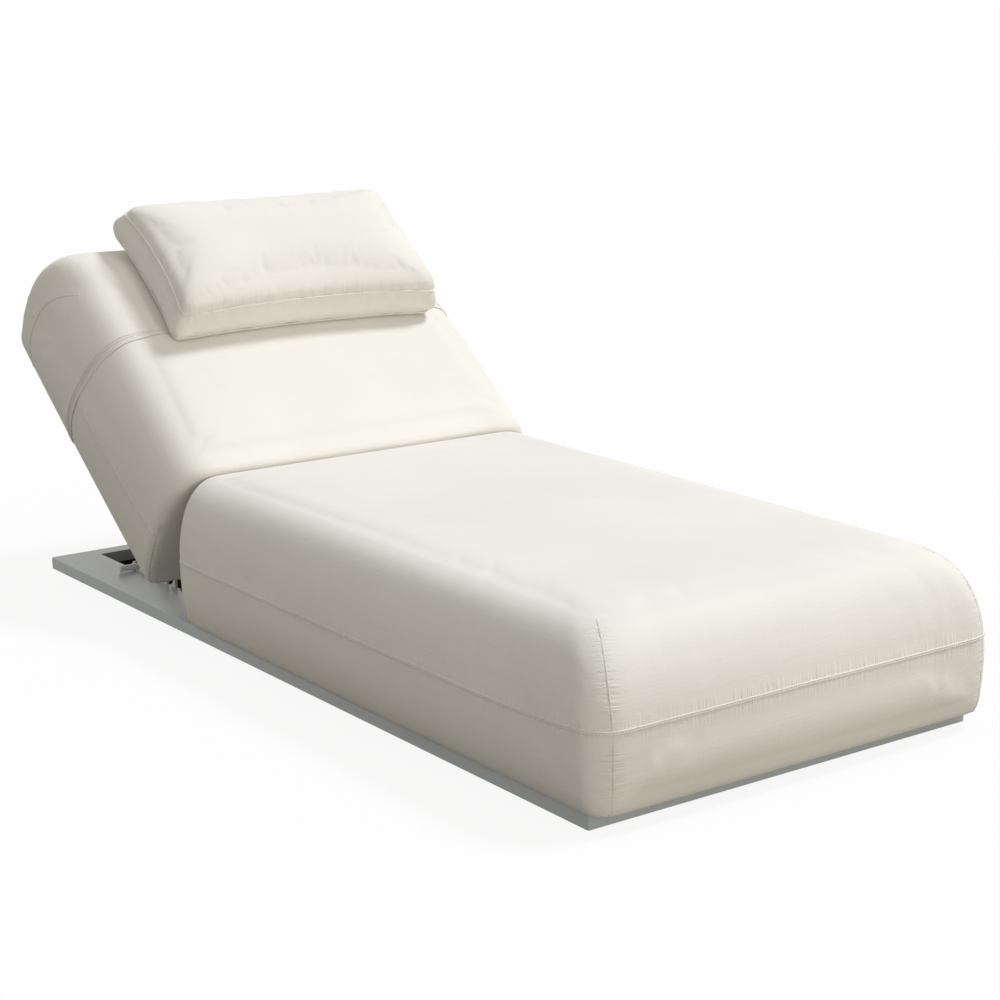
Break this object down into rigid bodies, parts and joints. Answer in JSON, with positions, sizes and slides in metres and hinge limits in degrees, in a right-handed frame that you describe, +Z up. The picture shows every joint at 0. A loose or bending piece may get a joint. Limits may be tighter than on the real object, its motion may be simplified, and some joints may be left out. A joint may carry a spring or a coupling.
{
  "type": "relaxation lounger",
  "caption": "Low upholstered spa lounger on a flat metal deck: a seat block, and a hinged backrest block with a head pillow, propped by a stay in toothed racks.",
  "frame": {"origin": "on the floor below the middle of the deck, at the underside of the centre glide", "axes": "+X to the right as seen from the foot end, +Y from foot to head, +Z up"},
  "size_m": [0.95, 2.12, 0.8341],
  "materials": {
    "deck_paint": "fine matt powder coat, pale grey",
    "bare_aluminium": "mill finish",
    "black_rubber": "matt",
    "rack_metal": "fine matt powder coat, pale grey",
    "stay_metal": "fine matt powder coat, pale grey",
    "steel": "zinc plated",
    "plywood": "sanded birch plywood",
    "woven_cover": "cream outdoor weave, matt"
  },
  "bodies": {
    "base": {"deck_tray": "deck_paint", "deck_rail_left": "bare_aluminium", "deck_rail_right": "bare_aluminium", "deck_cross_rails": "bare_aluminium", "floor_glides": "black_rubber", "centre_glide": "black_rubber", "rack_left": "rack_metal", "rack_right": "rack_metal", "rack_rivets": "steel", "seat_base_board": "plywood", "deck_bolts": "steel", "seat_rear_panel": "plywood", "seat_hinge_leaf_left": "steel", "seat_hinge_leaf_right": "steel", "hinge_pin_left": "steel", "hinge_pin_right": "steel", "seat_hinge_screws": "steel", "seat_cushion": "woven_cover"},
    "backrest": {"back_end_panel": "plywood", "back_hinge_leaf_left": "steel", "back_hinge_leaf_right": "steel", "back_hinge_screws": "steel", "back_side_board_left": "plywood", "back_side_board_right": "plywood", "back_head_board": "plywood", "back_ceiling_panel": "plywood", "back_rest_pads": "black_rubber", "stay_bracket_left": "steel", "stay_bracket_right": "steel", "stay_bracket_screws": "steel", "stay_pin_left": "steel", "stay_pin_right": "steel", "backrest_cushion": "woven_cover", "backrest_hood": "woven_cover"},
    "stay": {"stay_arm_left": "stay_metal", "stay_arm_right": "stay_metal", "stay_foot_bar": "stay_metal", "stay_brace": "stay_metal"},
    "pillow": {"head_pillow": "woven_cover"}
  },
  "joints": [
    {"name": "backrest_hinge", "type": "hinge", "parent": "base", "child": "backrest", "pos_m": [0, 0.343, 0.326], "axis": [1, 0, 0], "range_deg": [-37.3, 13]},
    {"name": "stay_swing", "type": "hinge", "parent": "backrest", "child": "stay", "pos_m": [0, 0.54384, 0.1886], "axis": [1, 0, 0], "range_deg": [-25, 71]},
    {"name": "pillow_lift", "type": "slide", "parent": "backrest", "child": "pillow", "axis": [0, -0.606, 0.7955], "range_m": [0, 0.15]}
  ],
  "couplings": [
    {"joint": "stay_swing", "follows": "backrest_hinge", "ratio": -1.88}
  ]
}
